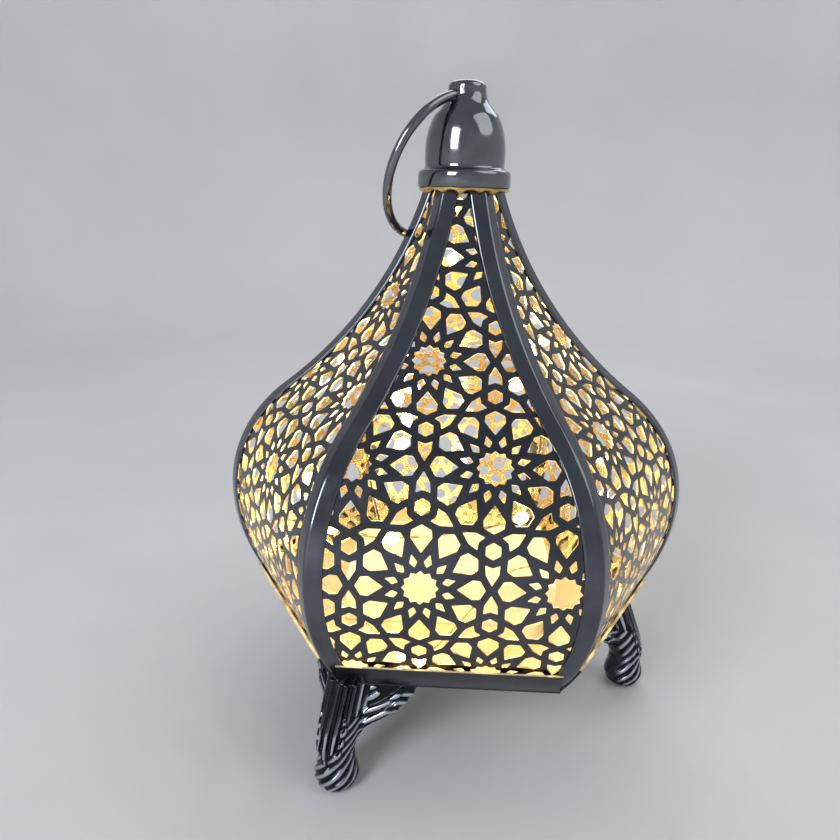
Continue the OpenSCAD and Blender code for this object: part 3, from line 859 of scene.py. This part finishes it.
def adhesive_ring():
    """Squeezed-out bead of hot-melt adhesive between the collar and the ribs, with lumps and drips."""
    sides, around = 240, 12
    verts, rows = [], []
    for k in range(sides):
        azimuth = 360.0 * k / sides
        a = math.radians(azimuth)
        wobble = noise.noise(Vector((math.cos(a), math.sin(a), 0)) * 5.5)
        tall = 1.15 + 0.5 * wobble
        for at, half_width, hang in DRIPS:
            off = (azimuth - at + 180) % 360 - 180
            tall += hang * math.exp(-((off / half_width) ** 2))
        middle = COLLAR_LOW + 0.1 - tall / 2
        flat = profile(v_at(middle), 0.0)[0]
        inner = min(flat / math.cos(math.radians((azimuth % 60) - 30)), COLLAR_R - 1.5) - 0.3
        wide = (COLLAR_R - 0.4 + 0.3 * wobble - inner) / 2
        rows.append(list(range(len(verts), len(verts) + around)))
        for j in range(around):
            t = 2 * math.pi * j / around
            out = inner + wide + wide * math.cos(t)
            verts.append(place(azimuth, out, 0, middle + tall / 2 * math.sin(t)))
    faces = []
    for a, b in zip(rows, rows[1:] + rows[:1]):
        for j in range(around):
            i = (j + 1) % around
            faces.append([a[j], b[j], b[i], a[i]])
    return piece("adhesive_squeeze", verts, faces, [ADHESIVE], replaces=("adhesive_bead",),
                 sharp=180.0)


adhesive_ring()


def ring():
    """Ring of bent wire, thinned where its two ends butt together."""
    lean_az = math.radians(HOLE_AZ - 90)
    down = Vector((
        math.cos(lean_az) * math.cos(RING_DROOP),
        math.sin(lean_az) * math.cos(RING_DROOP),
        -math.sin(RING_DROOP),
    ))
    along = Vector((math.cos(math.radians(HOLE_AZ)), math.sin(math.radians(HOLE_AZ)), 0))
    normal = down.cross(along).normalized()
    pivot = Vector((0, 0, HOLE_Z))
    centre = pivot + down * RING_R
    sides, around = 240, 24
    verts, rows = [], []
    for k in range(sides):
        a = 2 * math.pi * k / sides
        out = -down * math.cos(a) + along * math.sin(a)
        gap = abs((a - RING_JOINT_AT + math.pi) % (2 * math.pi) - math.pi) * RING_R
        r = RING_D / 2 - (0.22 if gap < 0.2 else 0.1 if gap < 0.7 else 0.0)
        row = []
        for j in range(around):
            b = 2 * math.pi * j / around
            row.append(len(verts))
            verts.append((centre + out * (RING_R + r * math.cos(b)) + normal * (r * math.sin(b))) * MM)
        rows.append(row)
    faces = []
    for k in range(sides):
        a, b = rows[k], rows[(k + 1) % sides]
        for j in range(around):
            i = (j + 1) % around
            faces.append([a[j], a[i], b[i], b[j]])
    return piece("ring_wire", verts, faces, [RING], body="ring", replaces=("ring_handle",),
                 sharp=180.0)


ring()


# ---------- light string ----------

BOX_HIGH = 54.0
WIRE_D = 0.8
STRAND_R = 0.2
WINDING_R = 0.24
WINDING_PITCH = 14.0
BEADS = [
    (-9, -57, 44), (-14, -58, 46), (-55, -39, 77), (-35, -64, 92), (-18, -65, 90),
    (19, -63, 97), (50, -20, 100), (58, 8, 76), (44, 30, 84), (4, 58, 70),
    (-40, 34, 96), (-47, -46, 95), (-45, -46, 100), (-16, -51, 114), (-15, -46, 120),
    (-18, -41, 125), (-14, -36, 127), (18, -36, 129), (25, -19, 137), (29, -8, 138),
    (20, 24, 132), (-20, 30, 124), (-41, -2, 128), (-14, 8, 146), (-3, -14, 165),
]
# The string leaves the top of the battery box and turns to the first bead
ROUTE = [Vector(p) for p in [(31, -10, BOX_HIGH + WIRE_D / 2), (18, -30, 60)] + BEADS]


def heading(i):
    return (ROUTE[min(i + 1, len(ROUTE) - 1)] - ROUTE[max(i - 1, 0)]).normalized()


def span_point(i, t):
    a, b = ROUTE[i], ROUTE[i + 1]
    reach = (b - a).length
    return (
        a * (2 * t ** 3 - 3 * t ** 2 + 1) + b * (3 * t ** 2 - 2 * t ** 3)
        + heading(i) * reach * (t ** 3 - 2 * t ** 2 + t) + heading(i + 1) * reach * (t ** 3 - t ** 2)
    )


def wire_strand(name, phase):
    """One of the two thin copper wires, wound loosely round the route."""
    steps = 10
    path = [span_point(i, k / steps) for i in range(len(ROUTE) - 1) for k in range(steps)] + [ROUTE[-1]]
    curve = bpy.data.curves.new(name, "CURVE")
    curve.dimensions = "3D"
    curve.bevel_depth = STRAND_R * MM
    curve.bevel_resolution = 2
    curve.materials.append(COPPER)
    spline = curve.splines.new("POLY")
    spline.points.add(len(path) - 1)
    travelled = 0.0
    for k, p in enumerate(path):
        ahead = path[min(k + 1, len(path) - 1)] - path[max(k - 1, 0)]
        side = ahead.cross(Vector((0, 0, 1))).normalized()
        other = ahead.cross(side).normalized()
        travelled += (p - path[k - 1]).length if k else 0.0
        a = travelled / WINDING_PITCH * 2 * math.pi + phase
        q = (p + (side * math.cos(a) + other * math.sin(a)) * WINDING_R) * MM
        spline.points[k].co = (*q, 1.0)
    obj = bpy.data.objects.new(name, curve)
    bpy.context.scene.collection.objects.link(obj)
    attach(obj, "lantern")
    return obj, [Vector(point.co[:3]) for point in spline.points]


first_strand, first_path = wire_strand("wire_strand_a", 0.0)
second_strand, _ = wire_strand("wire_strand_b", math.pi)
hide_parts("light_string")


# Half section of a drop, as (along the wire, radius)
DROP_SHAPE = [
    (-2.6, 0.28), (-2.2, 0.7), (-1.5, 1.3), (-0.6, 1.65),
    (0.3, 1.7), (1.2, 1.45), (1.9, 0.9), (2.4, 0.32),
]


def beads():
    """Drops of resin on the wire, each drawn out along it."""
    verts, faces = [], []
    sides = 16
    for i in range(2, len(ROUTE)):
        forward = heading(i)
        side = forward.cross(Vector((0, 0, 1))).normalized()
        other = forward.cross(side)
        base = len(verts)
        for along, r in DROP_SHAPE:
            for k in range(sides):
                a = 2 * math.pi * k / sides
                around = side * math.cos(a) + other * math.sin(a)
                verts.append((ROUTE[i] + forward * along + around * r) * MM)
        for j in range(len(DROP_SHAPE) - 1):
            for k in range(sides):
                n = (k + 1) % sides
                a = base + j * sides
                faces.append([a + k, a + sides + k, a + sides + n, a + n])
        faces.append([base + k for k in range(sides)])
        faces.append([base + (len(DROP_SHAPE) - 1) * sides + k for k in reversed(range(sides))])
    return piece("led_drops", verts, faces, [LED], replaces=("led_beads",), sharp=180.0)


beads()


# ---------- stage, lights and camera ----------


def floor():
    """Pale floor that curves up into a pale surround."""
    flat, curve_r, top = 0.75, 0.35, 0.9
    outline = [(0.0, 0.0), (flat, 0.0)]
    outline += [(flat + curve_r * math.sin(a), curve_r * (1 - math.cos(a)))
                for a in (math.radians(7.5 * i) for i in range(1, 13))]
    outline.append((flat + curve_r, top))
    sides = 96
    verts = [(r * math.cos(2 * math.pi * k / sides), r * math.sin(2 * math.pi * k / sides), z)
             for k in range(sides) for r, z in outline]
    n = len(outline)
    faces = [[k * n + i, (k + 1) % sides * n + i, (k + 1) % sides * n + i + 1, k * n + i + 1]
             for k in range(sides) for i in range(n - 1)]
    mesh = bpy.data.meshes.new("floor")
    mesh.from_pydata(verts, [], faces)
    mesh.polygons.foreach_set("use_smooth", [True] * len(mesh.polygons))
    m = Nodes("pale_floor")
    m.set(Roughness=0.75)
    m.colour(m.ramp(m.noise(6.0, 3.0), [(0.3, (0.56, 0.555, 0.55)), (0.7, (0.60, 0.595, 0.59))]))
    mesh.materials.append(m.material)
    obj = bpy.data.objects.new("floor", mesh)
    bpy.context.scene.collection.objects.link(obj)


floor()


def area_light(name, at, target, size, power, colour):
    data = bpy.data.lights.new(name, "AREA")
    data.shape = "RECTANGLE"
    data.size, data.size_y = size
    data.energy = power
    data.color = colour
    obj = bpy.data.objects.new(name, data)
    obj.location = at
    obj.rotation_euler = (Vector(target) - Vector(at)).to_track_quat("-Z", "Y").to_euler()
    bpy.context.scene.collection.objects.link(obj)


area_light("window", (-0.50, -0.80, 0.55), (0, 0, 0.12), (0.36, 0.5), 7.5, (0.86, 0.93, 1.0))
area_light("fill", (0.8, -0.3, 0.9), (0, 0, 0.1), (0.9, 0.9), 4.0, (1.0, 0.97, 0.92))
area_light("back", (0.2, 0.8, 0.9), (0, 0, 0.1), (1.2, 0.6), 5.0, (0.92, 0.96, 1.0))


GLOW_COLOUR = (1.0, 0.75, 0.34)
# A bead's lamp sits this far inside it, clear of the sheet that it touches, in millimetres
LAMP_IN = 2.6
LAMP_R = 0.002
LAMP_POWER = 0.009
# A bead below the top of the battery box is weaker, because it is so near the sheet
LOW_LAMP_POWER = 0.004
# Lamps inside the lower half of each panel: distance from the axis and height, in millimetres
LOW_GLOW_AT = (42, 62)
LOW_GLOW_R = 0.008
LOW_GLOW_POWER = 0.0037


def glow(name, at, radius, power):
    """Warm light that the camera does not see: at in millimetres, radius in metres, power in watts."""
    data = bpy.data.lights.new(name, "POINT")
    data.energy = power
    data.color = GLOW_COLOUR
    data.shadow_soft_size = radius
    lamp = bpy.data.objects.new(name, data)
    lamp.location = Vector(at) * MM
    lamp.visible_camera = False
    bpy.context.scene.collection.objects.link(lamp)


for i, p in enumerate(ROUTE[2:]):
    outward = Vector((p.x, p.y, 0))
    low = p.z < BOX_HIGH
    power = LOW_LAMP_POWER if low else LAMP_POWER
    glow(f"bead_{i}", p - outward.normalized() * LAMP_IN, LAMP_R, power)
for i, azimuth in enumerate(range(30, 360, 60)):
    at = place(azimuth, LOW_GLOW_AT[0], 0, LOW_GLOW_AT[1]) / MM
    glow(f"low_glow_{i}", at, LOW_GLOW_R, LOW_GLOW_POWER)


world = bpy.data.worlds.new("studio")
bpy.context.scene.world = world
world.use_nodes = True
background = world.node_tree.nodes["Background"]
background.inputs["Color"].default_value = (0.62, 0.66, 0.72, 1.0)
background.inputs["Strength"].default_value = 0.55

CAMERA_AT = Vector((-2.6, -252.0, 181.6)) * MM
CAMERA_YAW, CAMERA_PITCH, CAMERA_ROLL = (math.radians(v) for v in (2.355, 16.66, 1.216))
LENS, SENSOR = 30.85, 36.0

forward = Vector((
    -math.sin(CAMERA_YAW) * math.cos(CAMERA_PITCH),
    math.cos(CAMERA_YAW) * math.cos(CAMERA_PITCH),
    -math.sin(CAMERA_PITCH),
))
level = Vector((math.cos(CAMERA_YAW), math.sin(CAMERA_YAW), 0))
upright = level.cross(forward)
right = level * math.cos(CAMERA_ROLL) + upright * math.sin(CAMERA_ROLL)
up = upright * math.cos(CAMERA_ROLL) - level * math.sin(CAMERA_ROLL)
camera_data = bpy.data.cameras.new("camera")
camera_data.lens = LENS
camera_data.sensor_width = SENSOR
camera_data.clip_start = 0.01
camera = bpy.data.objects.new("camera", camera_data)
turn = Matrix((right, up, -forward)).transposed()
camera.matrix_world = Matrix.Translation(CAMERA_AT) @ turn.to_4x4()
bpy.context.scene.collection.objects.link(camera)
bpy.context.scene.camera = camera

bpy.context.scene.view_settings.view_transform = "Standard"

bpy.context.view_layer.update()
